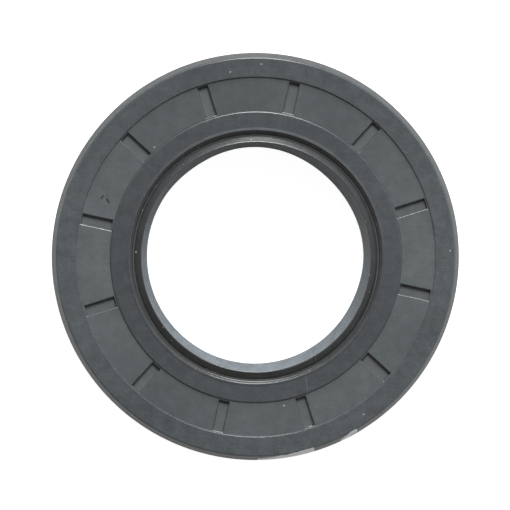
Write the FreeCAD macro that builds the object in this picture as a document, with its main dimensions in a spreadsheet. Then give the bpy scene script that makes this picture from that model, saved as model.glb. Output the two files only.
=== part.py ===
import FreeCAD, Part
import math
import os

import Sketcher

# A rubber covered radial shaft seal with a dust lip, in millimetres. A pressed steel ring of
# L-section stiffens it, moulded rubber covers the ring outside and on its air side and forms both
# lips, and a garter spring in a groove behind the main lip holds that lip to the shaft.
# The origin is the middle of the oil-side rim and +Z runs along the shaft to the air side.

SIZES = {
    # What the seal fits, and its width along the shaft.
    "shaft_diameter": 42.0,
    "housing_diameter": 75.0,
    "seal_width": 12.0,
    # How much larger the free outside is than its bore, and smaller the free lip than its shaft.
    "housing_allowance": 0.3,
    "lip_interference": 1.8,
    # The steel ring: its sheet, the inside of its bend, and its flange's bore outside the heel.
    "case_thickness": 1.2,
    "bend_round": 0.4,
    "heel_wall": 2.08,
    # Rubber over the ring: outside it, on its air side, under its lower end.
    "cover_thickness": 1.25,
    "face_thickness": 1.3,
    "rim_thickness": 0.9,
    # Lead-in chamfers of the outside, each with its run in radius and its run along the axis.
    "air_chamfer_run": 0.85,
    "air_chamfer_length": 2.0,
    "oil_chamfer_run": 0.9,
    "oil_chamfer_length": 2.0,
    # The shallow band round the air side, and the slots that cross it.
    "band_outer_diameter": 66.4,
    "band_inner_diameter": 53.6,
    "band_depth": 0.35,
    "band_draft": 0.1,
    "slot_count": 12,
    "slot_width": 2.1,
    "slot_outer_ledge": 0.12,
    "slot_inner_ledge": 0.28,
    # The groove between the air side's inner land and the dust lip.
    "dust_groove_width": 2.07,
    "dust_groove_depth": 2.0,
    "dust_groove_taper": 0.45,
    "dust_groove_floor": 0.35,
    # The dust lip, which just clears the shaft.
    "dust_lip_clearance": 0.1,
    "dust_lip_setback": 0.2,
    "dust_nose_thickness": 0.3,
    "dust_nose_slope": 0.12,
    # The throat between the two lips, and the thin wall that carries the main lip.
    "throat_clearance": 0.8,
    "throat_depth": 3.4,
    "membrane_thickness": 1.15,
    "membrane_round": 1.2,
    # Rubber that laps under the flange and anchors the thin wall.
    "root_thickness": 0.6,
    "root_reach": 2.2,
    # The main lip: its edge below the air side, its narrow land and its two cone angles.
    "lip_depth": 7.8,
    "lip_land": 0.2,
    "air_angle": 25.0,
    "oil_angle": 45.0,
    "toe_width": 0.7,
    # The spring, the play in its groove, its shift towards the air side and the lip under it.
    "coil_diameter": 2.3,
    "spring_play": 0.05,
    "spring_shift": 0.5,
    "lip_stock": 1.65,
    # Rubber that holds the spring in: the toe and the shoulder past its middle, and the rubber
    # over its groove, which thins to the neck.
    "toe_reach": 0.75,
    "shoulder_reach": 0.5,
    "shoulder_stock": 0.2,
    "neck_length": 0.8,
}

# A bend is one slanting flat that touches its curve half way round, and FLAT_LEG is how far each
# end of that flat lies from the bend's corner when the curve's radius is 1. The coil and its
# groove have COIL_FLATS flats round their section.
FLAT_LEG = 2 - math.sqrt(2)
COIL_FLATS = 10

# Radii and heights that several pieces share, worked out from the sizes.
FACE = "sizes.seal_width"
OUTSIDE = "((sizes.housing_diameter + sizes.housing_allowance) / 2)"
CASE_OUTER = f"({OUTSIDE} - sizes.cover_thickness)"
CASE_INNER = f"({CASE_OUTER} - sizes.case_thickness)"
CASE_TOP = f"({FACE} - sizes.face_thickness)"
CASE_UNDER = f"({CASE_TOP} - sizes.case_thickness)"
CASE_END = "sizes.rim_thickness"
INNER_LEG = f"({FLAT_LEG} * sizes.bend_round)"
OUTER_LEG = f"({FLAT_LEG} * (sizes.bend_round + sizes.case_thickness))"
BAND_OUTER = "(sizes.band_outer_diameter / 2)"
BAND_INNER = "(sizes.band_inner_diameter / 2)"
BAND_FLOOR = f"({FACE} - sizes.band_depth)"
DUST_NOSE = "((sizes.shaft_diameter + sizes.dust_lip_clearance) / 2)"
DUST_TIP = f"({FACE} - sizes.dust_lip_setback)"
HEEL = f"({DUST_NOSE} + sizes.dust_nose_thickness + sizes.dust_groove_width)"
CASE_BORE = f"({HEEL} + sizes.heel_wall)"
THROAT = "(sizes.shaft_diameter / 2 + sizes.throat_clearance)"
MEMBRANE = f"({THROAT} + sizes.membrane_thickness)"
LIP = "((sizes.shaft_diameter - sizes.lip_interference) / 2)"
LIP_EDGE = f"({FACE} - sizes.lip_depth)"
COIL = "(sizes.coil_diameter / 2)"
SEAT = f"({COIL} + sizes.spring_play)"
RING = f"({LIP} + sizes.lip_stock + {SEAT})"
RING_HEIGHT = f"({LIP_EDGE} + sizes.spring_shift)"
TOE_OUTER = f"({RING} + sizes.toe_reach)"
TOE_INNER = f"({TOE_OUTER} - sizes.toe_width)"


def make_sheet(doc):
    """Write each size on a row of the sheet, its name beside it and as its alias."""
    sheet = doc.addObject("Spreadsheet::Sheet", "sizes")
    for row, (name, value) in enumerate(SIZES.items(), start=1):
        sheet.set(f"A{row}", name)
        sheet.set(f"B{row}", str(value))
        sheet.setAlias(f"B{row}", name)
    doc.recompute()
    return sheet


def origin_part(body, role):
    """Return the plane or axis of the body's own origin that has this role."""
    return next(item for item in body.Origin.OriginFeatures if item.Role == role)


def add_sketch(body, name, role):
    """Add a sketch to the body on one of its origin planes."""
    sketch = body.newObject("Sketcher::SketchObject", name)
    sketch.AttachmentSupport = [(origin_part(body, role), "")]
    sketch.MapMode = "FlatFace"
    return sketch


def bind(sketch, kind, name, places, expression):
    """Add one dimension between places of the sketch, named, and tied to the sizes."""
    value = float(sketch.evalExpression(expression))
    index = sketch.addConstraint(Sketcher.Constraint(kind, *places, value))
    sketch.renameConstraint(index, name)
    sketch.setExpression(f"Constraints.{name}", expression)


def draw_outline(sketch, corners):
    """Draw a closed outline of straight sides, each corner held at its own dimensions.

    A corner is its name and its distances across and up, which are expressions of the sizes.
    """
    places = [
        FreeCAD.Vector(float(sketch.evalExpression(across)), float(sketch.evalExpression(up)), 0)
        for _, across, up in corners
    ]
    sides = [
        sketch.addGeometry(Part.LineSegment(place, places[(i + 1) % len(places)]))
        for i, place in enumerate(places)
    ]
    for i, (name, across, up) in enumerate(corners):
        sketch.addConstraint(Sketcher.Constraint("Coincident", sides[i - 1], 2, sides[i], 1))
        bind(sketch, "DistanceX", f"{name}_across", (-1, 1, sides[i], 1), across)
        if up == "0":
            sketch.addConstraint(Sketcher.Constraint("PointOnObject", sides[i], 1, -1))
        else:
            bind(sketch, "DistanceY", f"{name}_up", (-1, 1, sides[i], 1), up)


def coil_corners(radius):
    """Return the corners of the coil's round section, or its groove's, at this radius."""
    return [
        (
            f"flat_{i}",
            f"{RING} + {radius} * cos({360 * i / COIL_FLATS})",
            f"{RING_HEIGHT} + {radius} * sin({360 * i / COIL_FLATS})",
        )
        for i in range(COIL_FLATS)
    ]


def turn_section(body, kind, name, sketch):
    """Turn a section once round the shaft's axis, to add its ring or to cut it away."""
    feature = body.newObject(f"PartDesign::{kind}", name)
    feature.Profile = sketch
    feature.ReferenceAxis = (sketch, ["V_Axis"])
    feature.Angle = 360
    sketch.Visibility = False
    return feature


def steel_case(doc):
    """Press the stiffening ring: a flange on the air side and a wall down to the oil side."""
    body = doc.addObject("PartDesign::Body", "steel_case")
    section = add_sketch(body, "case_section", "XZ_Plane")
    draw_outline(section, [
        ("bore_under", CASE_BORE, CASE_UNDER),
        ("inner_bend_flange", f"{CASE_INNER} - {INNER_LEG}", CASE_UNDER),
        ("inner_bend_wall", CASE_INNER, f"{CASE_UNDER} - {INNER_LEG}"),
        ("inner_end", CASE_INNER, CASE_END),
        ("outer_end", CASE_OUTER, CASE_END),
        ("outer_bend_wall", CASE_OUTER, f"{CASE_TOP} - {OUTER_LEG}"),
        ("outer_bend_flange", f"{CASE_OUTER} - {OUTER_LEG}", CASE_TOP),
        ("bore_top", CASE_BORE, CASE_TOP),
    ])
    turn_section(body, "Revolution", "case_ring", section)
    return body


def rubber_section(body):
    """Draw the moulded rubber's section round the steel ring, with both lips and no grooves."""
    groove_floor = f"({FACE} - sizes.dust_groove_depth)"
    groove_outer = f"({HEEL} - sizes.dust_groove_taper)"
    lip_land_top = f"({LIP_EDGE} + sizes.lip_land / 2)"
    lip_land_under = f"({LIP_EDGE} - sizes.lip_land / 2)"
    throat_under = f"({lip_land_top} + ({THROAT} - {LIP}) / tan(sizes.air_angle))"
    toe_under = f"({lip_land_under} - ({TOE_INNER} - {LIP}) / tan(sizes.oil_angle))"
    shoulder = f"({RING_HEIGHT} + {SEAT} + sizes.shoulder_stock)"
    root_under = f"({CASE_UNDER} - sizes.root_thickness)"
    root_leg = f"({FLAT_LEG} * sizes.membrane_round)"
    root_end = f"({CASE_BORE} + sizes.root_reach)"
    section = add_sketch(body, "rubber_section", "XZ_Plane")
    draw_outline(section, [
        # The outside, from the oil-side rim up to the air side.
        ("rim_inner", CASE_INNER, "0"),
        ("rim_outer", f"{OUTSIDE} - sizes.oil_chamfer_run", "0"),
        ("oil_chamfer", OUTSIDE, "sizes.oil_chamfer_length"),
        ("air_chamfer", OUTSIDE, f"{FACE} - sizes.air_chamfer_length"),
        ("face_outer", f"{OUTSIDE} - sizes.air_chamfer_run", FACE),
        # In across the air side, down into the dust groove and out to the dust lip's nose.
        ("heel", HEEL, FACE),
        ("groove_outer", groove_outer, groove_floor),
        ("groove_inner", f"{groove_outer} - sizes.dust_groove_floor", groove_floor),
        ("nose_outer", f"{DUST_NOSE} + sizes.dust_nose_thickness", DUST_TIP),
        ("nose_inner", DUST_NOSE, f"{DUST_TIP} - sizes.dust_nose_slope"),
        # Down the bore: the throat, the air-side cone, the lip's land, the oil-side cone.
        ("throat_top", THROAT, f"{FACE} - sizes.throat_depth"),
        ("throat_under", THROAT, throat_under),
        ("lip_top", LIP, lip_land_top),
        ("lip_under", LIP, lip_land_under),
        ("toe_inner", TOE_INNER, toe_under),
        # Up the lip's back, past the spring, to the thin wall and its root under the flange.
        ("toe_outer", TOE_OUTER, toe_under),
        ("back", TOE_OUTER, RING_HEIGHT),
        ("shoulder", f"{RING} + sizes.shoulder_reach", shoulder),
        ("neck", MEMBRANE, f"{shoulder} + sizes.neck_length"),
        ("root_wall", MEMBRANE, f"{root_under} - {root_leg}"),
        ("root_flange", f"{MEMBRANE} + {root_leg}", root_under),
        ("root_under", f"{root_end} - sizes.root_thickness", root_under),
        ("root_end", root_end, CASE_UNDER),
        # Round the steel ring and back to the rim.
        ("bore_under", CASE_BORE, CASE_UNDER),
        ("bore_top", CASE_BORE, CASE_TOP),
        ("outer_bend_flange", f"{CASE_OUTER} - {OUTER_LEG}", CASE_TOP),
        ("outer_bend_wall", CASE_OUTER, f"{CASE_TOP} - {OUTER_LEG}"),
        ("outer_end", CASE_OUTER, CASE_END),
        ("inner_end", CASE_INNER, CASE_END),
    ])
    return section


def spring_seat(body):
    """Cut the round groove that holds the spring, open to the back of the main lip."""
    section = add_sketch(body, "spring_seat_section", "XZ_Plane")
    draw_outline(section, coil_corners(SEAT))
    return turn_section(body, "Groove", "spring_seat", section)


def air_side_band(body):
    """Sink the shallow band into the air side, its walls drafted a little."""
    section = add_sketch(body, "band_section", "XZ_Plane")
    draw_outline(section, [
        ("outer_top", BAND_OUTER, FACE),
        ("inner_top", BAND_INNER, FACE),
        ("inner_floor", f"{BAND_INNER} + sizes.band_draft", BAND_FLOOR),
        ("outer_floor", f"{BAND_OUTER} - sizes.band_draft", BAND_FLOOR),
    ])
    return turn_section(body, "Groove", "air_side_band", section)


def band_slot(body):
    """Cut one slot across the band, through the rubber and down to the steel ring."""
    half_width = "sizes.slot_width / 2"
    outer_end = f"{BAND_OUTER} - sizes.band_draft - sizes.slot_outer_ledge"
    inner_end = f"{BAND_INNER} + sizes.band_draft + sizes.slot_inner_ledge"
    plan = add_sketch(body, "slot_plan", "XY_Plane")
    plan.setExpression("AttachmentOffset.Base.z", FACE)
    draw_outline(plan, [
        ("inner_right", inner_end, f"-{half_width}"),
        ("outer_right", outer_end, f"-{half_width}"),
        ("outer_left", outer_end, half_width),
        ("inner_left", inner_end, half_width),
    ])
    slot = body.newObject("PartDesign::Pocket", "band_slot")
    slot.Profile = plan
    slot.Type = "Length"
    slot.setExpression("Length", "sizes.face_thickness")
    plan.Visibility = False
    return slot


def repeat_round_shaft(body, feature, name, count):
    """Repeat a cut evenly round the shaft's axis and make the result the body's last step."""
    pattern = body.newObject("PartDesign::PolarPattern", name)
    pattern.Originals = [feature]
    pattern.Axis = (origin_part(body, "Z_Axis"), [""])
    pattern.Angle = 360
    pattern.setExpression("Occurrences", count)
    body.Tip = pattern
    return pattern


def rubber_body(doc):
    """Mould the rubber: cover, air side, dust lip and main lip are one piece."""
    body = doc.addObject("PartDesign::Body", "rubber_body")
    moulding = turn_section(body, "Revolution", "moulding", rubber_section(body))
    seat = spring_seat(body)
    band = air_side_band(body)
    slot = band_slot(body)
    slots = repeat_round_shaft(body, slot, "band_slots", "sizes.slot_count")
    doc.recompute()
    steps = [moulding, seat, band, slot, slots]
    for before, after in zip(steps, steps[1:]):
        if after.Shape.Volume >= before.Shape.Volume:
            raise RuntimeError(f"{after.Name} cuts nothing")
    return body


def garter_spring(doc):
    """Lay the spring in its groove, as the ring that its close-wound coil fills."""
    body = doc.addObject("PartDesign::Body", "garter_spring")
    section = add_sketch(body, "coil_section", "XZ_Plane")
    draw_outline(section, coil_corners(COIL))
    turn_section(body, "Revolution", "coil_ring", section)
    return body


def check_document(doc, pieces):
    """Stop if any object failed to rebuild, or a piece isn't one valid solid."""
    for item in doc.Objects:
        if "Invalid" in item.State or "Error" in item.State:
            raise RuntimeError(f"{item.Name} didn't rebuild")
    for piece in pieces:
        if piece.Shape.isNull() or not piece.Shape.isValid() or len(piece.Shape.Solids) != 1:
            raise RuntimeError(f"{piece.Label} isn't one valid solid")


doc = FreeCAD.newDocument("radial_shaft_seal")
make_sheet(doc)
pieces = [rubber_body(doc), steel_case(doc), garter_spring(doc)]
doc.recompute()
check_document(doc, pieces)

os.makedirs("parts", exist_ok=True)
for piece in pieces:
    piece.Shape.exportStep(f"parts/{piece.Label}.step")
    print(f"{piece.Label}: {piece.Shape.Volume:.1f} mm3")
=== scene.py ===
# %% [markdown]
# A rubber covered radial shaft seal, seen from its air side. The script loads the measured model as
# a fixed frame, models each of its three pieces again as a fine surface, gives each a worked out
# finish, and sets a floor, a light and a camera. Every size below is in millimetres and is turned
# into Blender's metres only where a mesh is made.

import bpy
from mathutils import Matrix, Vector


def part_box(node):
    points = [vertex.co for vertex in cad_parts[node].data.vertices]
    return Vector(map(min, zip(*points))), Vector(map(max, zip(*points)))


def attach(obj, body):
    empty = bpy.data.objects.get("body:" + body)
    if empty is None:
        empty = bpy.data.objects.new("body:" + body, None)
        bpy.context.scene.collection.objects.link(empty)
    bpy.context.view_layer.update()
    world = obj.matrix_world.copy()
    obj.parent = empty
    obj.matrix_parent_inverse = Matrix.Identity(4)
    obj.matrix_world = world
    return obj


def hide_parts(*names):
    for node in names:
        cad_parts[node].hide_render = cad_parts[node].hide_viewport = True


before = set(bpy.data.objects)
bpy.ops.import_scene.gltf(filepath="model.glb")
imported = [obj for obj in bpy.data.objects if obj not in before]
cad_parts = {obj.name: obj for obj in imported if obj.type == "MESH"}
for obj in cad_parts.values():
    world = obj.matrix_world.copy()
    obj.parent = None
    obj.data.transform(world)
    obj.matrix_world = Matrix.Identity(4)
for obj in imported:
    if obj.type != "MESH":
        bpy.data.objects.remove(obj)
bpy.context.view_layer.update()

# %% Tools and units
import math

import bpy
import numpy as np
from mathutils import Matrix, Vector

MM = 0.001


def node_box(name):
    """Return a frame piece's lowest and highest corners in millimetres."""
    low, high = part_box(name)
    return np.array(low) / MM, np.array(high) / MM


rubber_low, rubber_high = node_box("rubber_body")
case_low, case_high = node_box("steel_case")
spring_low, spring_high = node_box("garter_spring")
print("rubber box:", rubber_low.round(2), rubber_high.round(2))

# %% [markdown]
# The sizes that the frame's boxes give are read from them: how wide and high the rubber is, where
# the steel ring lies in it, and where the spring sits. The rest of the section is written here
# from the same design: the seal's 42 mm shaft, its two lips, and the shallow band on its face.

# %% Sizes of the section
OUTSIDE = rubber_high[0]
FACE = rubber_high[2]
CASE_OUTER = case_high[0]
CASE_TOP = case_high[2]
CASE_END = case_low[2]
CASE_THICKNESS = 1.2
CASE_INNER = CASE_OUTER - CASE_THICKNESS
CASE_UNDER = CASE_TOP - CASE_THICKNESS
CASE_BORE = 25.5
BEND_INSIDE = 0.4
BEND_OUTSIDE = BEND_INSIDE + CASE_THICKNESS

COIL_RADIUS = 1.15
SPRING_PLAY = 0.05
SEAT_RADIUS = COIL_RADIUS + SPRING_PLAY
RING_RADIUS = spring_high[0] - COIL_RADIUS
RING_HEIGHT = (spring_low[2] + spring_high[2]) / 2

BAND_OUTER = 33.18
BAND_INNER = 26.78
BAND_DEPTH = 0.35
BAND_DRAFT = 0.1
BAND_FLOOR = FACE - BAND_DEPTH

SLOT_COUNT = 12
SLOT_HALF_WIDTH = 0.91
SLOT_OUTER_LEDGE = 0.28
SLOT_INNER_LEDGE = 0.34
SLOT_OUTER_END = BAND_OUTER - BAND_DRAFT - SLOT_OUTER_LEDGE
SLOT_INNER_END = BAND_INNER + BAND_DRAFT + SLOT_INNER_LEDGE
SLOT_DEPTH = BAND_FLOOR - CASE_TOP
SLOT_EDGE = 0.2
SLOT_DRAFT = 0.04

HEEL = 23.28
LIP = 20.1
LIP_HEIGHT = 4.2
THROAT = 21.8
MEMBRANE = 22.95
TOE_REACH = 0.75
TOE_WIDTH = 0.7
TOE_OUTER = RING_RADIUS + TOE_REACH
TOE_INNER = TOE_OUTER - TOE_WIDTH
SHOULDER_HEIGHT = 1.05
ROOT_THICKNESS = 0.6
print(f"spring ring radius {RING_RADIUS:.2f} mm at height {RING_HEIGHT:.2f} mm")

# %% [markdown]
# Everything turned on this part starts as an outline in the plane of radius and height. A sharp
# outline looks like paper, so each corner gets the small round that its mould or press tool has.
# A round could be left to a bevel on the finished mesh, but here it is worked out in the outline,
# where its radius is exact and where the points are spent only on the corners that need them.

# %% An outline with rounded corners
def rounded_outline(corners, turn_per_step=math.radians(15)):
    """Return a closed outline's points and, for each, the number of the corner before it.

    A corner is (across, up, round). A round of radius q in a corner that turns by angle a touches
    both sides at q * tan(a / 2) from the corner. Its points are found by swinging the first
    touching point about the round's centre through even shares of the turn.
    """
    places = np.array([corner[:2] for corner in corners], float)
    points = []
    owners = []
    for i, (across, up, radius) in enumerate(corners):
        here = places[i]
        into = here - places[i - 1]
        out = places[(i + 1) % len(corners)] - here
        into /= np.linalg.norm(into)
        out /= np.linalg.norm(out)
        turn = math.atan2(into[0] * out[1] - into[1] * out[0], float(into @ out))
        if radius == 0 or abs(turn) < 1e-6:
            points.append(here[None])
            owners.append(i)
            continue
        start = here - into * radius * math.tan(abs(turn) / 2)
        side = np.sign(turn) * np.array([-into[1], into[0]])
        centre = start + side * radius
        steps = max(2, math.ceil(abs(turn) / turn_per_step))
        swing = np.linspace(0, turn, steps + 1)[:, None]
        arm = start - centre
        across_arm = np.array([-arm[1], arm[0]])
        points.append(centre + arm * np.cos(swing) + across_arm * np.sin(swing))
        owners += [i] * (steps + 1)
    return np.concatenate(points), np.array(owners)


# %% A mesh from a grid of points
def close_grid(rows, columns):
    """Return the four corners of each face of a grid that closes on itself both ways.

    Face (i, j) joins rows i and i + 1 to columns j and j + 1, in the order that faces outwards
    when the rows go round the section anticlockwise and the columns go round the axis.
    """
    i, j = np.meshgrid(np.arange(rows), np.arange(columns), indexing="ij")
    next_i = (i + 1) % rows
    next_j = (j + 1) % columns
    faces = [i * columns + j, i * columns + next_j, next_i * columns + next_j, next_i * columns + j]
    return np.stack(faces, axis=-1)


def weld(points, faces, marks):
    """Join points that share a place, and drop or shorten the faces that this flattens.

    Places are compared in steps of a tenth of a micrometre. A face that keeps four different
    corners stays, one that keeps three becomes a triangle, and one with fewer goes.
    """
    keys = np.round(points * 1e4).astype(np.int64)
    _, first, back = np.unique(keys, axis=0, return_index=True, return_inverse=True)
    corners = back.reshape(-1)[faces.reshape(-1, 4)]
    repeats = corners == np.roll(corners, -1, axis=1)
    whole = corners[repeats.sum(axis=1) == 0]
    short = repeats.sum(axis=1) == 1
    thirds = corners[short][~repeats[short]].reshape(-1, 3)
    return points[first], whole.tolist() + thirds.tolist(), {k: v[first] for k, v in marks.items()}


def make_piece(name, points, faces, marks, sharp_degrees=40):
    """Make a smooth shaded mesh object from points in millimetres, with a value per point."""
    points, polygons, marks = weld(points, faces, marks)
    mesh = bpy.data.meshes.new(name)
    mesh.from_pydata((points * MM).tolist(), [], polygons)
    for mark, values in marks.items():
        attribute = mesh.attributes.new(mark, "FLOAT", "POINT")
        attribute.data.foreach_set("value", values.astype(np.float32))
    mesh.polygons.foreach_set("use_smooth", np.ones(len(mesh.polygons), bool))
    mesh.set_sharp_from_angle(angle=math.radians(sharp_degrees))
    mesh.update()
    piece = bpy.data.objects.new(name, mesh)
    bpy.context.scene.collection.objects.link(piece)
    triangles = sum(len(polygon) - 2 for polygon in polygons)
    print(f"{name}: {len(points)} points, {triangles} triangles")
    return piece


# %% [markdown]
# The moulded rubber is one piece on the real seal: the mould closes round the steel ring and the
# rubber flows into the cover, the face and both lips at once. It could be a spun curve with the
# slots cut by booleans, but those leave long thin faces that shade badly. Instead the whole piece
# is one grid of outline points by angles. The columns beside a slot run parallel to its middle
# instead of radially, so its walls are straight, and its ends fall on rows of their own.

# %% Outline of the rubber
BEAD_WIDTH = 0.6
BEAD_RISE = 0.09

rubber_corners = {
    "rim_inner": (CASE_INNER, 0, 0.12),
    "rim_outer": (OUTSIDE - 0.9, 0, 0.3),
    "oil_chamfer": (OUTSIDE, 2.0, 0.8),
    "air_chamfer": (OUTSIDE, FACE - 2.0, 0.8),
    "chamfer_top": (OUTSIDE - 0.82, FACE - 0.285, 0),
    "face_step": (OUTSIDE - 0.88, FACE - 0.16, 0.04),
    "face_outer": (OUTSIDE - 1.09, FACE, 0.04),
    "band_outer_top": (BAND_OUTER, FACE, 0.09),
    "band_outer_floor": (BAND_OUTER - BAND_DRAFT, BAND_FLOOR, 0.03),
    "band_inner_floor": (BAND_INNER + BAND_DRAFT, BAND_FLOOR, 0.03),
    "band_inner_top": (BAND_INNER, FACE - BEAD_RISE / 2, 0.25),
    "bead_outer": (HEEL + BEAD_WIDTH, FACE - BEAD_RISE, 0.4),
    "heel": (HEEL, FACE, 0.14),
    "heel_foot": (HEEL - 0.04, FACE - 0.5, 0.04),
    "heel_step": (HEEL - 0.37, FACE - 0.53, 0.18),
    "groove_outer": (22.7, 10.95, 0.12),
    "groove_inner": (22.48, 10.9, 0.1),
    "nose_back": (22.34, 11.31, 0.15),
    "nose_slope": (21.42, 11.84, 0),
    "nose_crest": (21.25, 11.93, 0.16),
    "nose_inner": (21.1, 11.86, 0.1),
    "throat_top": (THROAT, 8.6, 0.5),
    "throat_under": (THROAT, 7.73, 0.5),
    "lip_top": (LIP, LIP_HEIGHT + 0.1, 0.05),
    "lip_under": (LIP, LIP_HEIGHT - 0.1, 0.05),
    "toe_inner": (TOE_INNER, 1.2, 0.22),
    "toe_outer": (TOE_OUTER, 1.2, 0.22),
}


def seat_points(steps=18):
    """Return the spring's groove: a circle's arc between the toe's back and the shoulder."""
    toe = math.acos((TOE_OUTER - RING_RADIUS) / SEAT_RADIUS)
    shoulder = math.asin(SHOULDER_HEIGHT / SEAT_RADIUS)
    angles = np.linspace(-toe, shoulder - math.tau, steps + 1)
    return [
        (RING_RADIUS + SEAT_RADIUS * math.cos(a), RING_HEIGHT + SEAT_RADIUS * math.sin(a), 0)
        for a in angles
    ]


rubber_corners |= {f"seat_{i}": point for i, point in enumerate(seat_points())}
rubber_corners |= {
    "shoulder": (23.45, RING_HEIGHT + SEAT_RADIUS + 0.2, 0.12),
    "neck": (MEMBRANE, 6.9, 0.6),
    "root_wall": (MEMBRANE, CASE_UNDER - ROOT_THICKNESS, 1.2),
    "root_under": (27.1, CASE_UNDER - ROOT_THICKNESS, 0.25),
    "root_end": (27.7, CASE_UNDER, 0),
    "bore_under": (CASE_BORE, CASE_UNDER, 0),
    "bore_top": (CASE_BORE, CASE_TOP, 0),
    "under_slot_inner": (SLOT_INNER_END, CASE_TOP, 0),
    "under_slot_outer": (SLOT_OUTER_END, CASE_TOP, 0),
    "case_bend": (CASE_OUTER, CASE_TOP, BEND_OUTSIDE),
    "outer_end": (CASE_OUTER, CASE_END, 0),
    "inner_end": (CASE_INNER, CASE_END, 0),
}
corner_names = list(rubber_corners)
rubber_outline, rubber_owners = rounded_outline(list(rubber_corners.values()))
print(f"rubber outline: {len(rubber_corners)} corners, {len(rubber_outline)} points")


# %% Rows and columns of the slots
def edge_profile(outwards):
    """Return a slot wall's offsets from its foot and its depths, from the lip down to the steel.

    The wall leans out by SLOT_DRAFT from its foot to its lip, as the mould needs. The lip is a
    round of radius q: offset draft + q * (1 - sin a) and depth q * (1 - cos a).
    """
    a = np.radians([0, 20, 40, 60, 84])
    offsets = np.append(SLOT_DRAFT + SLOT_EDGE * (1 - np.sin(a)), 0)
    depths = np.append(SLOT_EDGE * (1 - np.cos(a)), SLOT_DEPTH)
    return outwards * offsets, depths


def add_slot_rows(outline, owners):
    """Put the rows of both slot ends into the band's floor, and return each row's slot depth."""
    last = np.flatnonzero(owners == corner_names.index("band_outer_floor"))[-1]
    outer_offsets, depths = edge_profile(1)
    inner_offsets, _ = edge_profile(-1)
    radii = np.concatenate([SLOT_OUTER_END + outer_offsets, (SLOT_INNER_END + inner_offsets)[::-1]])
    row_depths = np.concatenate([depths, depths[::-1]])
    rows = np.column_stack([radii, np.full(len(radii), BAND_FLOOR)])
    outline = np.insert(outline, last + 1, rows, axis=0)
    owner = np.full(len(radii), corner_names.index("band_outer_floor"))
    owners = np.insert(owners, last + 1, owner)
    depth = np.insert(np.zeros(len(outline) - len(rows)), last + 1, row_depths)
    return outline, owners, depth


def slot_columns(columns_between=22):
    """Return each column's slot, its offset from the slot's middle, its share of the way to the
    next slot, and its slot depth."""
    offsets, depths = edge_profile(1)
    wall = SLOT_HALF_WIDTH + offsets
    inner = np.linspace(-SLOT_HALF_WIDTH, SLOT_HALF_WIDTH, 5)[1:-1]
    across = np.concatenate([-wall, inner, wall[::-1]])
    depth = np.concatenate([depths, np.full(len(inner), SLOT_DEPTH), depths[::-1]])
    share = np.linspace(0, 1, columns_between + 2)[1:-1]
    across = np.concatenate([across, np.full(columns_between, wall[0])])
    share = np.concatenate([np.zeros(len(depth)), share])
    depth = np.concatenate([depth, np.zeros(columns_between)])
    slot = np.repeat(np.arange(SLOT_COUNT), len(depth))
    return slot, np.tile(across, SLOT_COUNT), np.tile(share, SLOT_COUNT), np.tile(depth, SLOT_COUNT)


# %% [markdown]
# The main lip is thin and soft, so a free one is never quite round. In the photograph its edge
# swings in and out by about a fifth of a millimetre round its upper half. The same swing is given
# to the points near the lip, and fades out above and below it. The picture is turned against the
# part, because no slot lies straight up: its right lies PICTURE_RIGHT degrees from the +X axis.

# %% The free lip's swing
PICTURE_RIGHT = 12.5
SLOT_TURN = math.radians(PICTURE_RIGHT)
LIP_SWING = 0.19
SWING_START = math.radians(35)
SWING_REACH = 1.8


def lip_swing(radius, height, angle):
    """Return how far each point is moved outwards, in millimetres.

    With p the angle from the picture's right, it is LIP_SWING * cos(4 p). It fades in over the
    upper half by 2 sin(p + SWING_START), held between 0 and 1, and fades out above and below the
    lip by exp(-(distance / SWING_REACH) ** 2).
    """
    p = angle - SLOT_TURN
    upper = np.clip(2 * np.sin(p + SWING_START), 0, 1)
    near = np.exp(-(((height - LIP_HEIGHT) / SWING_REACH) ** 2)) * (radius < THROAT)
    return LIP_SWING * np.cos(4 * p) * upper * near


# %% [markdown]
# The finish changes from zone to zone of the section, so each point carries values that the
# material reads: how matt, dusty, polished and smooth it is, how much painted shade darkens it
# and dust specks gather on it, and how much film lies on it. A zone is named by the outline's
# corners that its points belong to. The values could be painted on the mesh, but worked out like
# this they follow the outline when it changes.

# %% Values for the finish
ZONES = {
    "band": ("band_outer_floor", "band_inner_floor"),
    "foot": ("band_inner_floor",),
    "chamfer": ("air_chamfer", "oil_chamfer", "chamfer_top"),
    "step": ("face_step",),
    "ledge": ("heel_foot", "heel_step"),
    "groove": ("groove_outer", "groove_inner"),
    "nose": ("nose_back", "nose_slope", "nose_crest", "nose_inner"),
    "slope": ("nose_back", "nose_slope"),
    "lips": ("throat_top", "throat_under", "lip_top", "lip_under"),
}

# How much of each mark a zone gets. The floor is the band without its slots, and the base is
# everywhere.
FINISH_MARKS = {
    "matt": {"floor": 1.0},
    "dusty": {"groove": 1.0, "chamfer": 0.4},
    # Painted shade darkens the ledge, the band's inner foot, the dust lip and some of the chamfer.
    "recess_dust_and_shade": {"ledge": 1.0, "foot": 1.0, "nose": 1.0, "chamfer": 0.2},
    "polished": {"lips": 1.0},
    "smooth": {"nose": 1.0, "lips": 0.7, "slope": -0.8},
    "film": {
        "base": 0.9, "ledge": 0.1, "step": -0.8, "groove": -0.45, "slope": -0.55, "floor": -0.5,
    },
}


def finish_marks(owners, drop):
    """Return the value of each mark at each point, from its row's corner and its slot depth."""
    zone = np.array(corner_names)[owners]
    everywhere = np.ones_like(drop)
    inside = {name: np.isin(zone, names)[:, None] * everywhere for name, names in ZONES.items()}
    inside |= {"base": everywhere, "floor": inside["band"] * (drop == 0)}
    return {
        mark: sum(weight * inside[name] for name, weight in weights.items()).ravel()
        for mark, weights in FINISH_MARKS.items()
    }


print("marks on each point:", list(FINISH_MARKS))


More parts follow.
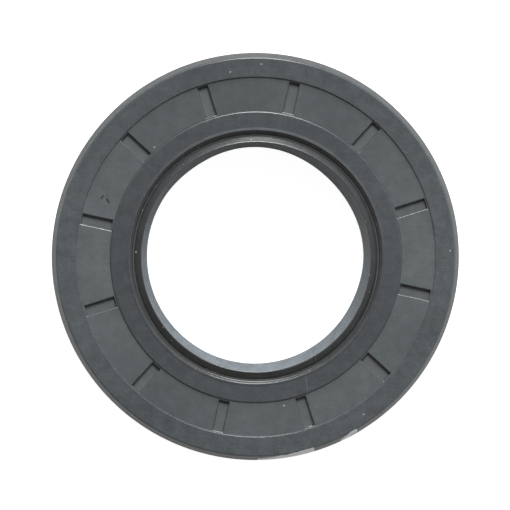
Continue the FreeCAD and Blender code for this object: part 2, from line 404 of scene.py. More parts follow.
# %% The rubber piece
def rubber_surface():
    """Return the rubber's grid of points, its faces and the values that its finish reads.

    At radius r a column that lies d to the side of a slot's middle has the angle asin(d / r) from
    that middle, so it runs parallel to it. Columns between two slots share the rest of the angle
    evenly. A point of the band's floor is lowered by the lesser of its row's and its column's slot
    depth. The faces of the slots' floors, and those under them, are left out, so each slot is open
    down to the steel.
    """
    outline, owners, row_depth = add_slot_rows(rubber_outline, rubber_owners)
    slot, across, share, column_depth = slot_columns()
    radius = outline[:, :1]
    pitch = math.tau / SLOT_COUNT
    beside = np.arcsin(across / radius)
    angle = slot * pitch + beside + share * (pitch - 2 * np.arcsin(across.max() / radius))
    drop = np.minimum(row_depth[:, None], column_depth[None, :])
    height = outline[:, 1:] - drop
    radius = radius + lip_swing(radius, height, angle)
    points = np.stack([radius * np.cos(angle), radius * np.sin(angle), height], axis=-1)

    rows, columns = angle.shape
    faces = close_grid(rows, columns)
    deep_row = row_depth == SLOT_DEPTH
    under_names = ("under_slot_inner", "under_slot_outer")
    under = np.isin(owners, [corner_names.index(name) for name in under_names])
    floor_row = (deep_row & np.roll(deep_row, -1)) | (under & np.roll(under, -1))
    deep_column = column_depth == SLOT_DEPTH
    floor_column = deep_column & np.roll(deep_column, -1)
    faces = faces[~(floor_row[:, None] & floor_column[None, :])]

    return points.reshape(-1, 3), faces, finish_marks(owners, drop)


rubber = make_piece("rubber_moulding", *rubber_surface())

# %% [markdown]
# The steel ring is pressed from sheet: a flat flange under the face and a wall down inside the
# cover, with a bend between them whose outside radius is the inside radius plus the sheet. Turning
# its outline gives the exact piece. Only the floors of the slots and the oil side show it.

# %% The steel ring
def turned_ring(outline, columns=288):
    """Turn an outline round the axis: every point (r, h) goes to (r cos t, r sin t, h)."""
    angle = np.linspace(0, math.tau, columns, endpoint=False)
    radius = outline[:, :1]
    height = np.broadcast_to(outline[:, 1:], (len(outline), columns))
    points = np.stack([radius * np.cos(angle), radius * np.sin(angle), height], axis=-1)
    return points.reshape(-1, 3), close_grid(len(outline), columns), {}


case_corners = [
    (CASE_BORE, CASE_UNDER, 0.05),
    (CASE_INNER, CASE_UNDER, BEND_INSIDE),
    (CASE_INNER, CASE_END, 0.03),
    (CASE_OUTER, CASE_END, 0.03),
    (CASE_OUTER, CASE_TOP, BEND_OUTSIDE),
    (CASE_BORE, CASE_TOP, 0.05),
]
case_outline = rounded_outline(case_corners)[0][::-1]
case = make_piece("pressed_steel_ring", *turned_ring(case_outline))

# %% [markdown]
# A garter spring is a long close-wound coil whose ends are joined into a ring: one end tapers to a
# nib that is screwed into the other end's hollow. A plain torus would do from far off, but the
# turns are what one sees from the oil side. The wire is a tube carried along a helix whose own
# axis is the ring. The helix runs on past a full turn of the ring at a smaller radius, which makes
# the nib.

# %% The garter spring
WIRE_RADIUS = 0.21
COIL_OUTER = 1.12
TURNS_ROUND = 310
NIB_TURNS = 9
NIB_PLAY = 0.02
TAPER_TURNS = 2.5
JOINT_ANGLE = math.radians(200)


def coil_surface(steps_per_turn=16, sides=8):
    """Return the wire's surface: circles of WIRE_RADIUS set square to a helix about the ring.

    With u the number of turns wound, the helix lies at ring angle 2 pi u / TURNS_ROUND and at coil
    angle 2 pi u. Its coil radius falls smoothly to the nib's over the last turns before the joint.
    """
    total = TURNS_ROUND + NIB_TURNS
    u = np.linspace(0, total, total * steps_per_turn + 1)
    full = COIL_OUTER - WIRE_RADIUS
    nib = full - 2 * WIRE_RADIUS - NIB_PLAY
    t = np.clip((u - (TURNS_ROUND - TAPER_TURNS)) / TAPER_TURNS, 0, 1)
    coil = full + (nib - full) * t * t * (3 - 2 * t)
    ring_angle = JOINT_ANGLE + math.tau * u / TURNS_ROUND
    coil_angle = math.tau * u
    outward = np.stack([np.cos(ring_angle), np.sin(ring_angle), 0 * u], axis=-1)
    upward = np.array([0.0, 0.0, 1.0])
    arm = outward * np.cos(coil_angle)[:, None] + upward * np.sin(coil_angle)[:, None]
    middle = outward * RING_RADIUS + upward * RING_HEIGHT + arm * coil[:, None]
    along = np.gradient(middle, axis=0)
    along /= np.linalg.norm(along, axis=1, keepdims=True)
    arm -= along * np.sum(arm * along, axis=1, keepdims=True)
    arm /= np.linalg.norm(arm, axis=1, keepdims=True)
    side = np.cross(along, arm)
    around = np.linspace(0, math.tau, sides, endpoint=False)[None, :, None]
    circle = arm[:, None] * np.cos(around) + side[:, None] * np.sin(around)
    points = middle[:, None] + WIRE_RADIUS * circle
    points[0] = middle[0]
    points[-1] = middle[-1]
    faces = close_grid(len(u), sides)[:-1]
    return points.reshape(-1, 3), faces, {}


spring = make_piece("garter_spring_coil", *coil_surface(), sharp_degrees=80)

# %% Seat the pieces on the frame
for piece, node_name, slot_name in (
    (rubber, "rubber_body", "rubber"),
    (case, "steel_case", "case_steel"),
    (spring, "garter_spring", "spring_steel"),
):
    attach(piece, "root")
    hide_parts(node_name)

# %% [markdown]
# A mesh's smooth shading averages the faces round each point, and a wide flat face next to a thin
# round would be shaded as if it were bent. The Weighted Normal modifier lets the wide face win, so
# flats look flat and only the rounds catch the light.

# %% Shade flats as flat
for piece in (rubber, case):
    modifier = piece.modifiers.new("flats_stay_flat", "WEIGHTED_NORMAL")
    modifier.mode = "FACE_AREA"
    modifier.keep_sharp = True

# %% [markdown]
# Finishes are built from nodes. Short helpers keep the graphs readable: they add a node with its
# values, do sums and products, blend two colours, and start a group with named sockets.

# %% Helpers for node graphs
def fill(tree, node, values):
    """Link or set each named or numbered input of a node."""
    for name, value in values.items():
        if isinstance(value, bpy.types.NodeSocket):
            tree.links.new(value, node.inputs[name])
        else:
            node.inputs[name].default_value = value


def put(tree, kind, values=None, **settings):
    """Add a node, set its properties and fill its inputs."""
    new = tree.nodes.new(kind)
    for name, value in settings.items():
        setattr(new, name, value)
    fill(tree, new, values or {})
    return new


def calc(tree, operation, a, b=0.0, clamp=False):
    """Add a Math node and return its result."""
    node = put(tree, "ShaderNodeMath", {0: a, 1: b}, operation=operation, use_clamp=clamp)
    return node.outputs[0]


def plus(tree, a, b, clamp=False):
    """Return a + b."""
    return calc(tree, "ADD", a, b, clamp)


def minus(tree, a, b, clamp=False):
    """Return a - b."""
    return calc(tree, "SUBTRACT", a, b, clamp)


def times(tree, a, b, clamp=False):
    """Return a * b."""
    return calc(tree, "MULTIPLY", a, b, clamp)


def weighted(tree, shares, weights):
    """Return the weight named base plus each other named share times its weight."""
    total = weights.get("base", 0.0)
    for name, weight in weights.items():
        if name != "base":
            total = plus(tree, total, times(tree, shares[name], weight))
    return total


def vector_calc(tree, operation, values, output="Vector"):
    """Add a Vector Math node and return one of its results."""
    return put(tree, "ShaderNodeVectorMath", values, operation=operation).outputs[output]


def spread(tree, value, low, high, start=0.0, end=1.0, **settings):
    """Return a share that runs from start to end while a value runs from low to high."""
    values = {"Value": value, "From Min": low, "From Max": high, "To Min": start, "To Max": end}
    return put(tree, "ShaderNodeMapRange", values, **settings).outputs[0]


def blend_colour(tree, share, a, b):
    """Return the colour that runs from a at share 0 to b at share 1.

    The Mix node's sockets for colours are its inputs 6 and 7 and its output 2.
    """
    return put(tree, "ShaderNodeMix", {0: share, 6: a, 7: b}, data_type="RGBA").outputs[2]


def window(tree, value, low, high, soft):
    """Return 1 where a value lies between two limits and 0 outside, over soft edges."""
    low_edge = minus(tree, low, soft), plus(tree, low, soft)
    high_edge = minus(tree, high, soft), plus(tree, high, soft)
    rise = spread(tree, value, *low_edge, interpolation_type="SMOOTHSTEP")
    fall = spread(tree, value, *high_edge, 1.0, 0.0, interpolation_type="SMOOTHSTEP")
    return times(tree, rise, fall)


def start_group(name, inputs, outputs):
    """Start a node group with float or vector inputs and float outputs."""
    tree = bpy.data.node_groups.new(name, "ShaderNodeTree")
    for socket_name, default in inputs.items():
        kind = "NodeSocketVector" if default is None else "NodeSocketFloat"
        socket = tree.interface.new_socket(socket_name, in_out="INPUT", socket_type=kind)
        if default is not None:
            socket.default_value = default
    for socket_name in outputs:
        tree.interface.new_socket(socket_name, in_out="OUTPUT", socket_type="NodeSocketFloat")
    return tree, tree.nodes.new("NodeGroupInput").outputs, tree.nodes.new("NodeGroupOutput").inputs


def use_group(tree, group, values):
    """Place a group in a material and return its outputs."""
    return put(tree, "ShaderNodeGroup", values, node_tree=group).outputs


def colour(red, green, blue):
    """Turn screen values from 0 to 255 into the linear colour that nodes take."""
    parts = np.array([red, green, blue]) / 255
    linear = np.where(parts <= 0.04045, parts / 12.92, ((parts + 0.055) / 1.055) ** 2.4)
    return (*linear.tolist(), 1.0)


# %% [markdown]
# Six effects are made as groups, each built once and placed with its own values. The ring place
# turns object coordinates into a radius, an angle and a height, so marks can be set where they lie
# on a turned part. The clouds are the soft uneven tone that handled rubber takes on. The grain is
# the fine texture that the mould leaves. The specks are grains of pale dust, each in its own cell
# of a cell pattern. The streaks are the fine lines that wiping leaves, and a stroke is a single
# scratch, pit or grain.

# %% Shared effects
# Noise seldom leaves this range, so this is what is stretched to run from 0 to 1.
NOISE_RANGE = (0.3, 0.7)
STREAK_STRETCH = 12
# A stroke is full in its middle, and its edge takes up what this is over 1.
STROKE_CORE = 1.4


def scale_of(tree, size):
    """Return the scale that gives a pattern a size in millimetres."""
    return calc(tree, "DIVIDE", 1 / MM, size)


def noise(tree, place, scale, **values):
    """Add a Noise Texture and return its value."""
    return put(tree, "ShaderNodeTexNoise", {"Vector": place, "Scale": scale, **values}).outputs[0]


def ring_place_group():
    """Radius and height in millimetres, and angle in degrees from the +X axis."""
    tree, given, result = start_group("ring_place", {"Place": None}, ["Radius", "Angle", "Height"])
    parts = put(tree, "ShaderNodeSeparateXYZ", {0: given["Place"]}).outputs
    squares = [times(tree, part, part) for part in (parts[0], parts[1])]
    radius = calc(tree, "SQRT", plus(tree, *squares))
    angle = calc(tree, "ARCTAN2", parts[1], parts[0])
    tree.links.new(calc(tree, "DIVIDE", radius, MM), result["Radius"])
    tree.links.new(calc(tree, "DEGREES", angle), result["Angle"])
    tree.links.new(calc(tree, "DIVIDE", parts[2], MM), result["Height"])
    return tree


def clouds_group():
    """Soft noise stretched to run from 0 to 1, at a size in millimetres."""
    inputs = {"Place": None, "Size": 8.0, "Detail": 3.0}
    tree, given, result = start_group("clouds", inputs, ["Share"])
    scale = scale_of(tree, given["Size"])
    soft = noise(tree, given["Place"], scale, Detail=given["Detail"], Roughness=0.55)
    tree.links.new(spread(tree, soft, *NOISE_RANGE), result["Share"])
    return tree


def grain_group():
    """Height of a fine pebbled grain: cells of one size broken up by noise of half that size."""
    tree, given, result = start_group("grain", {"Place": None, "Size": 0.25}, ["Height"])
    scale = scale_of(tree, given["Size"])
    values = {"Vector": given["Place"], "Scale": scale}
    cells = put(tree, "ShaderNodeTexVoronoi", values, feature="SMOOTH_F1").outputs["Distance"]
    broken = noise(tree, given["Place"], times(tree, scale, 2.0), Detail=2.0)
    tree.links.new(plus(tree, times(tree, cells, 0.6), broken), result["Height"])
    return tree


def specks_group():
    """Small round specks: one cell in some of a cell pattern, each with a size of its own."""
    inputs = {"Place": None, "Spacing": 2.0, "Share": 0.1, "Size": 0.1}
    tree, given, result = start_group("specks", inputs, ["Mask"])
    values = {"Vector": given["Place"], "Scale": scale_of(tree, given["Spacing"])}
    cells = put(tree, "ShaderNodeTexVoronoi", values).outputs
    parts = put(tree, "ShaderNodeSeparateColor", {0: cells["Color"]}).outputs
    chosen = calc(tree, "LESS_THAN", parts[0], given["Share"])
    size = calc(tree, "DIVIDE", given["Size"], given["Spacing"])
    reach = times(tree, size, plus(tree, parts[1], 0.4))
    near = calc(tree, "LESS_THAN", cells["Distance"], reach)
    tree.links.new(times(tree, chosen, near), result["Mask"])
    return tree


def streaks_group():
    """Fine streaks from 0 to 1: noise drawn out along one direction in the plane."""
    inputs = {"Place": None, "Size": 0.3, "Turn": 0.0}
    tree, given, result = start_group("streaks", inputs, ["Share"])
    values = {"Vector": given["Place"], "Angle": given["Turn"]}
    turned = put(tree, "ShaderNodeVectorRotate", values, rotation_type="Z_AXIS").outputs[0]
    drawn = vector_calc(tree, "MULTIPLY", {0: turned, 1: (1 / STREAK_STRETCH, 1, 1)})
    lines = noise(tree, drawn, scale_of(tree, given["Size"]), Detail=2.0, Roughness=0.6)
    tree.links.new(spread(tree, lines, *NOISE_RANGE), result["Share"])
    return tree


def stroke_group():
    """1 within a width of the line from one place to another in the plane, and 0 away from it."""
    inputs = {"Place": None, "From": None, "To": None, "Width": 0.1}
    tree, given, result = start_group("stroke", inputs, ["Mask"])
    flat = vector_calc(tree, "MULTIPLY", {0: given["Place"], 1: (1 / MM, 1 / MM, 0)})
    along = vector_calc(tree, "SUBTRACT", {0: given["To"], 1: given["From"]})
    off = vector_calc(tree, "SUBTRACT", {0: flat, 1: given["From"]})
    reach = vector_calc(tree, "DOT_PRODUCT", {0: off, 1: along}, "Value")
    length = vector_calc(tree, "DOT_PRODUCT", {0: along, 1: along}, "Value")
    share = calc(tree, "DIVIDE", reach, length, clamp=True)
    foot = vector_calc(tree, "SCALE", {0: along, "Scale": share})
    gap = vector_calc(tree, "DISTANCE", {0: off, 1: foot}, "Value")
    inside = spread(tree, gap, 0.0, given["Width"], STROKE_CORE, 0.0)
    tree.links.new(calc(tree, "MINIMUM", inside, 1.0), result["Mask"])
    return tree


ring_place = ring_place_group()
clouds = clouds_group()
grain = grain_group()
specks = specks_group()
streaks = streaks_group()
stroke = stroke_group()
print("groups:", [group.name for group in (ring_place, clouds, grain, specks, streaks, stroke)])


# %% Start a material
def start_material(name):
    """Start a material and return its tree, its surface shader and its object coordinates."""
    material = bpy.data.materials.new(name)
    material.use_nodes = True
    tree = material.node_tree
    tree.nodes.clear()
    shader = put(tree, "ShaderNodeBsdfPrincipled")
    put(tree, "ShaderNodeOutputMaterial", {"Surface": shader.outputs[0]})
    place = put(tree, "ShaderNodeTexCoord").outputs["Object"]
    return material, tree, shader, place


def attribute(tree, name):
    """Return the value that each point of a mesh carries under a name."""
    return put(tree, "ShaderNodeAttribute", attribute_name=name).outputs["Fac"]


def grain_normal(tree, place, size, strength, depth):
    """Return the normal of a surface whose grain has a size and a depth in millimetres."""
    height = use_group(tree, grain, {"Place": place, "Size": size})["Height"]
    values = {"Height": height, "Strength": strength, "Distance": depth * MM}
    return put(tree, "ShaderNodeBump", values).outputs[0]


# %% [markdown]
# The rubber is a dark blue grey nitrile compound. Its lands were moulded against a turned and
# polished face of the tool and look smoother and bluer, its band against a blasted face and looks
# paler and flatter. Dust has settled in the groove beside the dust lip, and the whole face is
# finely mottled. Painted shade darkens the recesses of the ledge, the band's inner foot and the
# dust lip. The lips are paler, partly rubbed and partly painted light that is brightest at the
# picture's bottom and darkest at its top. Painted sheen makes the lands and band paler at the
# picture's left, right and lower right, and the inner land is darker, most of all to the left and
# lower right. Each of these is a share from 0 to 1 that moves the colour or the gloss a little, and
# the weights below say by how much.

# %% Rubber colours and weights
LAND_COLOUR = colour(54, 61, 65)
# Paler colours for random tone and for painted sheen at the sides, the band's also for scratches.
LAND_PALE_AND_SHEEN = colour(74, 80, 84)
BAND_COLOUR = colour(68, 75, 77)
BAND_PALE_SCRATCH_AND_SHEEN = colour(90, 97, 98)
# Pale lip colour: partly rubbed rubber, partly painted light.
LIP_COLOUR = colour(109, 119, 126)
INNER_COLOUR = colour(52, 58, 62)
# Painted shade for the ledge, the band's inner foot and the dust lip.
PAINTED_RECESS_SHADE = colour(46, 48, 49)
DUST_COLOUR = colour(94, 91, 82)
SPECK_COLOUR = colour(190, 190, 180)
PIT_COLOUR = colour(36, 36, 35)
RESIDUE_COLOUR = colour(246, 250, 252)

# Each cloudy tone's size in millimetres and its detail.
RUBBER_CLOUDS = {
    "tone": (9.0, 3.0), "mottled": (2.0, 4.0), "speckled": (0.35, 2.0), "patchy": (1.6, 3.0),
}

# Dust specks: how far apart their cells are, the share of cells that have one, and their size.
RUBBER_SPECKS = {"few": (3.4, 0.05, 0.16), "many": (0.7, 0.22, 0.09)}
MANY_SHOWN = 0.7
WIPED = {"Size": 0.4, "Turn": -0.17}
RUBBER_COAT = {"Coat Roughness": 0.25, "Coat IOR": 1.8}

# Humps round the seal: the side of the picture in degrees from its right, and the hump's power.
SIDES = {
    "sheen_right": (0, 4.0), "sheen_left": (180, 4.0), "sheen_below": (-60, 2.0),
    "darker_left": (190, 1.0), "darker_right": (-45, 2.0), "bottom": (-90, 1.0), "top": (90, 1.0),
}
SHEEN_BELOW_SHOWN = 0.8

# Painted sheen: the lands and band are paler at the picture's left, right and lower right.
TONE_AND_SHEEN = {"tone": 0.5, "side_sheen": 0.6}
# The inner land is darker, most of all to the picture's left and lower right.
INNER_DARKENING = {"base": 0.35, "darker_left": 0.7, "darker_right": 0.5}
# Lips paler, partly rubbed and partly painted light: paler at the bottom, darker at the top.
RUBBED_AND_LIT = {"base": 0.78, "bottom": 0.22, "top": -0.25}
SETTLED = {"base": 0.15, "patchy": 0.4}
UNEVEN = {"base": -0.5, "mottled": 0.5, "speckled": 0.38, "wiped": 0.12}
SWING = {"base": 0.9, "matt": -0.45}
ROUGHNESS = {"base": 0.66, "matt": 0.06, "tone": 0.08, "settled": 0.2, "smooth": -0.3}
FILM_LOST = {"pale": 1.0, "settled": 0.9, "dry": 1.2}
print("shares in the roughness:", list(ROUGHNESS))

# %% [markdown]
# Noise would put single marks anywhere, so each is set where the photograph shows it.
# Something light has rubbed off on the outer chamfer in two places. A few grains of dust lie on
# the face, faint scratches cross it, and small dark pits lie together on its left.

# %% Single marks
# Each pale mark on the air chamfer: where it starts and ends in degrees round the seal, and how
# high its upper and lower edges lie in millimetres at its start and at its end.
RESIDUE_MARKS = (
    {"start": -77.0, "end": -60.7, "upper": (10.7, 12.4), "lower": (9.6, 9.8)},
    {"start": -52.8, "end": -47.2, "upper": (10.6, 12.6), "lower": (9.8, 10.7)},
)
RESIDUE_INNER = OUTSIDE - 0.95
RESIDUE_SOFT = 0.06
RESIDUE_END_SOFT = 0.12
FRAY = 0.35
FRAY_SIZE = 1.2

# Single marks on the face, in millimetres to the right of and above the axis as the picture shows
# it: where each starts and ends, and how far it reaches to either side.
PALE_STROKES = (
    ((19.8, -29.0), (19.9, -29.0), 0.15),
    ((5.1, -27.4), (5.2, -27.4), 0.16),
    ((-4.8, 34.0), (-4.7, 34.1), 0.12),
    ((0.9, 35.5), (1.0, 35.5), 0.14),
    ((-9.4, 29.6), (-9.3, 29.5), 0.12),
    ((-18.7, 20.2), (-18.7, 20.3), 0.14),
    ((35.8, 1.1), (35.8, 1.2), 0.15),
    ((-22.1, 0.9), (-22.1, 1.1), 0.14),
    ((9.3, -31.3), (10.2, -31.2), 0.14),
)
FAINT_STROKES = (
    ((2.6, 22.1), (3.0, 22.1), 0.12),
    ((9.1, -21.9), (9.5, -24.6), 0.08),
    ((26.9, 19.6), (27.9, 19.2), 0.08),
    ((20.2, 13.9), (21.6, 13.4), 0.07),
    ((-24.6, -24.3), (-23.5, -24.9), 0.07),
    ((24.9, -10.9), (26.3, -10.6), 0.07),
    ((-28.1, 6.8), (-27.2, 7.9), 0.07),
)
DARK_STROKES = (
    ((-28.5, 10.8), (-28.1, 11.3), 0.22),
    ((-27.4, 10.7), (-27.1, 10.1), 0.3),
    ((-27.4, 11.3), (-27.3, 11.4), 0.16),
)


def strokes_mask(tree, place, marks):
    """Return where any of some strokes lies, given the picture's own directions."""
    values = {"Vector": place, "Angle": -SLOT_TURN}
    turned = put(tree, "ShaderNodeVectorRotate", values, rotation_type="Z_AXIS").outputs[0]
    total = 0.0
    for start, end, width in marks:
        values = {"Place": turned, "From": (*start, 0), "To": (*end, 0), "Width": width}
        total = calc(tree, "MAXIMUM", total, use_group(tree, stroke, values)["Mask"])
    return total


def residue_mask(tree, ring, place):
    """Return where the pale marks lie: bands between two slanting edges, frayed by noise."""
    values = {"Place": place, "Size": FRAY_SIZE, "Detail": 2.0}
    fray = minus(tree, use_group(tree, clouds, values)["Share"], 0.5)
    fray = times(tree, fray, FRAY)
    height = plus(tree, ring["Height"], fray)
    angle = plus(tree, ring["Angle"], fray)
    total = 0.0
    for mark in RESIDUE_MARKS:
        along = spread(tree, ring["Angle"], mark["start"], mark["end"], clamp=False)
        low, high = (
            plus(tree, times(tree, along, end - start), start)
            for start, end in (mark["lower"], mark["upper"])
        )
        inside = window(tree, height, low, high, RESIDUE_SOFT)
        ends = window(tree, angle, mark["start"], mark["end"], RESIDUE_END_SOFT)
        total = plus(tree, total, times(tree, inside, ends), clamp=True)
    return times(tree, total, calc(tree, "GREATER_THAN", ring["Radius"], RESIDUE_INNER))


print("single marks:", len(PALE_STROKES + FAINT_STROKES + DARK_STROKES + RESIDUE_MARKS))

# %% [markdown]
# The shares are made first, each from the points' own values, from noise or from the side of the
# seal that it lies on. Then the colour is laid on: the moulded tones with their painted shade,
# sheen and light, the mottling, the dust, the single marks. The film is a thin coat, less where
# dust, wear or the pale marks have taken it.

# %% Rubber finish
def lobe(tree, angle, side, power):
    """Return a hump that is 1 at one side of the picture and 0 from 90 degrees off it.

    With t the angle from that side, it is cos(t) ** power.
    """
    turn = calc(tree, "RADIANS", minus(tree, angle, PICTURE_RIGHT + side))
    return calc(tree, "POWER", calc(tree, "MAXIMUM", calc(tree, "COSINE", turn), 0.0), power)


def rubber_shares(tree, place):
    """Return every share that the rubber's colour and gloss are made from, by its name."""
    ring = use_group(tree, ring_place, {"Place": place})
    share = {name: attribute(tree, name) for name in FINISH_MARKS}
    for name, (size, detail) in RUBBER_CLOUDS.items():
        values = {"Place": place, "Size": size, "Detail": detail}
        share[name] = use_group(tree, clouds, values)["Share"]
    share["wiped"] = use_group(tree, streaks, {"Place": place, **WIPED})["Share"]
    for name, (spacing, some, size) in RUBBER_SPECKS.items():
        values = {"Place": place, "Spacing": spacing, "Share": some, "Size": size}
        share[name] = use_group(tree, specks, values)["Mask"]
    for name, (side, power) in SIDES.items():
        share[name] = lobe(tree, ring["Angle"], side, power)

    # Painted sheen at the picture's left, right and lower right.
    held = plus(tree, share["sheen_right"], share["sheen_left"])
    below = times(tree, share["sheen_below"], SHEEN_BELOW_SHOWN)
    share["side_sheen"] = calc(tree, "MAXIMUM", held, below)
    share["worn"] = plus(tree, weighted(tree, share, TONE_AND_SHEEN), 0.0, clamp=True)
    # Darker inner land, most of all to the left and lower right.
    inner = window(tree, ring["Radius"], HEEL + 0.1, BAND_INNER, 0.1)
    share["inner"] = times(tree, inner, weighted(tree, share, INNER_DARKENING), clamp=True)
    share["rubbed"] = times(tree, weighted(tree, share, RUBBED_AND_LIT), share["polished"])
    share["dry"] = minus(tree, share["polished"], share["rubbed"])
    share["settled"] = times(tree, share["dusty"], weighted(tree, share, SETTLED))
    lying = plus(tree, share["dusty"], share["recess_dust_and_shade"], clamp=True)
    many = times(tree, times(tree, share["many"], lying), MANY_SHOWN)
    share["dust"] = plus(tree, share["few"], many, clamp=True)
    share["pale"] = residue_mask(tree, ring, place)
    return share


def rubber_colour(tree, share, place):
    """Return the rubber's colour: its moulded tones with painted shade, sheen and light, mottled,
    and then what lies on them.
    """
    # Random paler tone and painted sheen at the sides.
    land = blend_colour(tree, share["worn"], LAND_COLOUR, LAND_PALE_AND_SHEEN)
    land = blend_colour(tree, share["inner"], land, INNER_COLOUR)
    band = blend_colour(tree, share["worn"], BAND_COLOUR, BAND_PALE_SCRATCH_AND_SHEEN)
    surface = blend_colour(tree, share["matt"], land, band)
    # Painted shade in the recesses.
    surface = blend_colour(tree, share["recess_dust_and_shade"], surface, PAINTED_RECESS_SHADE)
    # Lips paler: partly rubbed, partly painted light brightest at the picture's bottom.
    surface = blend_colour(tree, share["rubbed"], surface, LIP_COLOUR)
    swing = times(tree, weighted(tree, share, UNEVEN), weighted(tree, share, SWING))
    surface = vector_calc(tree, "SCALE", {0: surface, "Scale": plus(tree, swing, 1.0)})
    for cover, tint in (
        (share["settled"], DUST_COLOUR),
        (share["dust"], SPECK_COLOUR),
        (strokes_mask(tree, place, PALE_STROKES), SPECK_COLOUR),
        (strokes_mask(tree, place, FAINT_STROKES), BAND_PALE_SCRATCH_AND_SHEEN),
        (strokes_mask(tree, place, DARK_STROKES), PIT_COLOUR),
        (share["pale"], RESIDUE_COLOUR),
    ):
        surface = blend_colour(tree, cover, surface, tint)
    return surface


def rubber_material():
    """Build the rubber's finish."""
    material, tree, shader, place = start_material("moulded_rubber")
    share = rubber_shares(tree, place)
    fill(tree, shader, {
        "Base Color": rubber_colour(tree, share, place),
        "Roughness": weighted(tree, share, ROUGHNESS),
        "Normal": grain_normal(tree, place, size=0.22, strength=0.25, depth=0.01),
        "IOR": 1.5,
        "Coat Weight": minus(tree, share["film"], weighted(tree, share, FILM_LOST), clamp=True),
        **RUBBER_COAT,
    })
    return material


rubber.data.materials.append(rubber_material())
print("rubber finish nodes:", len(rubber.data.materials[0].node_tree.nodes))

# %% [markdown]
# The ring's steel was phosphated so that the rubber's bonding agent would hold. That leaves it a
# dull grey, nearer to stone than to bare metal, with a fine crystal grain and thin uneven
# traces of the dried agent.

# %% Steel ring finish
STEEL_DARK = colour(90, 95, 97)
STEEL_PALE = colour(102, 107, 109)
STAIN_COLOUR = colour(98, 98, 93)
STAIN_SHOWN = 0.25


def case_material():
    """Build the phosphated steel's finish."""
    material, tree, shader, place = start_material("phosphated_steel")
    tone = use_group(tree, clouds, {"Place": place, "Size": 2.2, "Detail": 5.0})["Share"]
    stain = use_group(tree, clouds, {"Place": place, "Size": 0.7, "Detail": 4.0})["Share"]
    surface = blend_colour(tree, tone, STEEL_DARK, STEEL_PALE)
    surface = blend_colour(tree, times(tree, stain, STAIN_SHOWN), surface, STAIN_COLOUR)
    fill(tree, shader, {
        "Base Color": surface,
        "Roughness": plus(tree, times(tree, tone, 0.15), 0.5),
        "Normal": grain_normal(tree, place, size=0.12, strength=0.4, depth=0.01),
    })
    return material


case.data.materials.append(case_material())
print("steel ring finish nodes:", len(case.data.materials[0].node_tree.nodes))

# %% [markdown]
# Spring wire is drawn through dies, so it is bright steel with fine lines along it, here dulled by
# an oil film. The coil is small, so a soft tone and a little unevenness in its gloss are enough.

# %% Spring finish
WIRE_DARK = colour(150, 148, 142)
WIRE_PALE = colour(178, 176, 170)


def spring_material():
    """Build the drawn wire's finish."""
    material, tree, shader, place = start_material("drawn_wire")
    tone = use_group(tree, clouds, {"Place": place, "Size": 1.5})["Share"]
    fill(tree, shader, {
        "Base Color": blend_colour(tree, tone, WIRE_DARK, WIRE_PALE),
        "Roughness": plus(tree, times(tree, tone, 0.15), 0.25),
        "Normal": grain_normal(tree, place, size=0.06, strength=0.15, depth=0.005),
        "Metallic": 1.0,
    })
    return material


spring.data.materials.append(spring_material())
print("spring finish nodes:", len(spring.data.materials[0].node_tree.nodes))

# %% [markdown]
# The seal lies on a white table under soft light that comes mostly from the top of the picture.
# The table is a plain pale floor. For the camera it also glows a little, so that it shows as white,
# while its own shading still carries the seal's soft shadow. A light is placed by the picture's own
# directions, which are turned a little from the part's.

# %% Directions of the picture
picture_right = Vector((math.cos(SLOT_TURN), math.sin(SLOT_TURN), 0))
picture_up = Vector((-math.sin(SLOT_TURN), math.cos(SLOT_TURN), 0))
straight_up = Vector((0, 0, 1))


def aim(thing, place, target, up):
    """Set a lamp or camera at a place, looking at a target, with a direction kept upright."""
    back = (place - target).normalized()
    right = up.cross(back).normalized()
    turned = Matrix((right, back.cross(right), back)).transposed().to_4x4()
    thing.matrix_world = Matrix.Translation(place) @ turned


# %% Floor
FLOOR_SIZE = 3.0
FLOOR_COLOUR = 0.58
FLOOR_GLOW = 0.93
GLOSS_GLOW = 0.12


def floor_material():
    """Build a plain pale floor that glows where the camera sees it, and faintly in reflections."""
    material = bpy.data.materials.new("white_table")
    material.use_nodes = True
    tree = material.node_tree
    tree.nodes.clear()
    diffuse = put(tree, "ShaderNodeBsdfDiffuse", {"Color": (*[FLOOR_COLOUR] * 3, 1)})
    path = put(tree, "ShaderNodeLightPath").outputs
    seen = calc(tree, "MAXIMUM", path["Is Camera Ray"], path["Is Transmission Ray"])
    glossy = times(tree, path["Is Glossy Ray"], GLOSS_GLOW)
    strength = calc(tree, "MAXIMUM", times(tree, seen, FLOOR_GLOW), glossy)
    glow = put(tree, "ShaderNodeEmission", {"Strength": strength})
    both = put(tree, "ShaderNodeAddShader", {0: diffuse.outputs[0], 1: glow.outputs[0]})
    put(tree, "ShaderNodeOutputMaterial", {"Surface": both.outputs[0]})
    return material


floor_corners = np.array([(-1, -1, 0), (1, -1, 0), (1, 1, 0), (-1, 1, 0)]) * FLOOR_SIZE / 2
floor_mesh = bpy.data.meshes.new("table")
floor_mesh.from_pydata(floor_corners.tolist(), [], [(0, 1, 2, 3)])
floor = bpy.data.objects.new("table", floor_mesh)
bpy.context.scene.collection.objects.link(floor)
floor.data.materials.append(floor_material())

# %% Lights
LAMP_DISTANCE = 3.0
ZENITH = 0.16
NEAR_WALL = (0.42, 0.34, 0.28, 1)
FAR_WALL = (1.58, 1.66, 1.72, 1)
FAR_RIGHT = 0.7


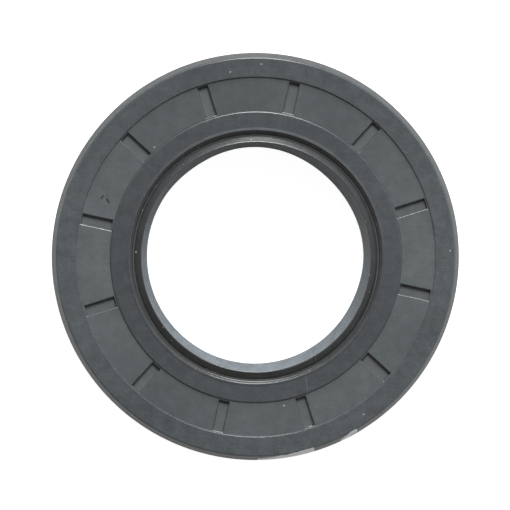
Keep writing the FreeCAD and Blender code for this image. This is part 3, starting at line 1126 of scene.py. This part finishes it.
def soft_lamp(name, share, height_degrees, turn_degrees, size):
    """Add a square panel on the picture's upper side, turned a little to the right.

    Its power gives a share of a white sky's light on a level surface:
    power = pi * pi * share * distance squared / sine of its height.
    """
    height = math.radians(height_degrees)
    turn = math.radians(turn_degrees)
    data = bpy.data.lights.new(name, "AREA")
    data.shape = "SQUARE"
    data.size = size
    data.energy = math.pi ** 2 * share * LAMP_DISTANCE ** 2 / math.sin(height)
    lamp = bpy.data.objects.new(name, data)
    bpy.context.scene.collection.objects.link(lamp)
    level = picture_up * math.cos(turn) + picture_right * math.sin(turn)
    place = (level * math.cos(height) + straight_up * math.sin(height)) * LAMP_DISTANCE
    aim(lamp, place, Vector((0, 0, 0)), straight_up)
    print(f"{name}: {data.energy:.1f} W")


def white_world():
    """Light the scene with the rest: pale walls at the horizon and a darker ceiling.

    With z the sine of a direction's height, the strength is ZENITH + (1 - ZENITH) * (1 - z) ** 2.
    On a level surface that adds up to ZENITH + (1 - ZENITH) / 6 of a white sky's light. The wall
    beyond the picture's upper right is the brighter one. With s the share of a direction that
    points there, from -1 to 1, the colour runs evenly from NEAR_WALL to FAR_WALL.
    """
    world = bpy.data.worlds.new("white_room")
    bpy.context.scene.world = world
    world.use_nodes = True
    tree = world.node_tree
    tree.nodes.clear()
    way = put(tree, "ShaderNodeTexCoord").outputs["Generated"]
    z = put(tree, "ShaderNodeSeparateXYZ", {0: way}).outputs[2]
    low = minus(tree, 1.0, calc(tree, "MAXIMUM", z, 0.0))
    rise = times(tree, times(tree, low, low), 1 - ZENITH)
    far = (picture_up + picture_right * FAR_RIGHT).normalized()
    s = vector_calc(tree, "DOT_PRODUCT", {0: way, 1: tuple(far)}, "Value")
    wall = blend_colour(tree, times(tree, plus(tree, s, 1.0), 0.5), NEAR_WALL, FAR_WALL)
    values = {"Color": wall, "Strength": plus(tree, rise, ZENITH)}
    light = put(tree, "ShaderNodeBackground", values)
    put(tree, "ShaderNodeOutputWorld", {"Surface": light.outputs[0]})


soft_lamp("key_panel", 0.64, 52, 6, 1.25)
soft_lamp("low_panel", 0.11, 18, 4, 1.0)
white_world()

# %% [markdown]
# The photograph was taken from almost straight above, with a long lens. The higher edges of the
# seal stand a little to the right of and below the lower ones, which puts the camera slightly to
# the left of and above the seal's axis.

# %% Camera
CAMERA_DISTANCE = 0.55
LEAN_LEFT = math.radians(1.8)
LEAN_UP = math.radians(1.8)
FRAME_WIDTH = 0.0942
PIXELS = 510
AIM_RIGHT = -0.8
AIM_UP = 1.9

pixel = FRAME_WIDTH / PIXELS
target = Vector((0, 0, 10 * MM)) + picture_right * AIM_RIGHT * pixel + picture_up * AIM_UP * pixel
lean = straight_up - picture_right * math.tan(LEAN_LEFT) + picture_up * math.tan(LEAN_UP)
camera_data = bpy.data.cameras.new("camera")
camera_data.lens = camera_data.sensor_width * CAMERA_DISTANCE / FRAME_WIDTH
camera = bpy.data.objects.new("camera", camera_data)
bpy.context.scene.collection.objects.link(camera)
aim(camera, target + lean.normalized() * CAMERA_DISTANCE, target, picture_up)
bpy.context.scene.camera = camera
bpy.context.scene.view_settings.view_transform = "Standard"
print(f"lens: {camera_data.lens:.1f} mm")
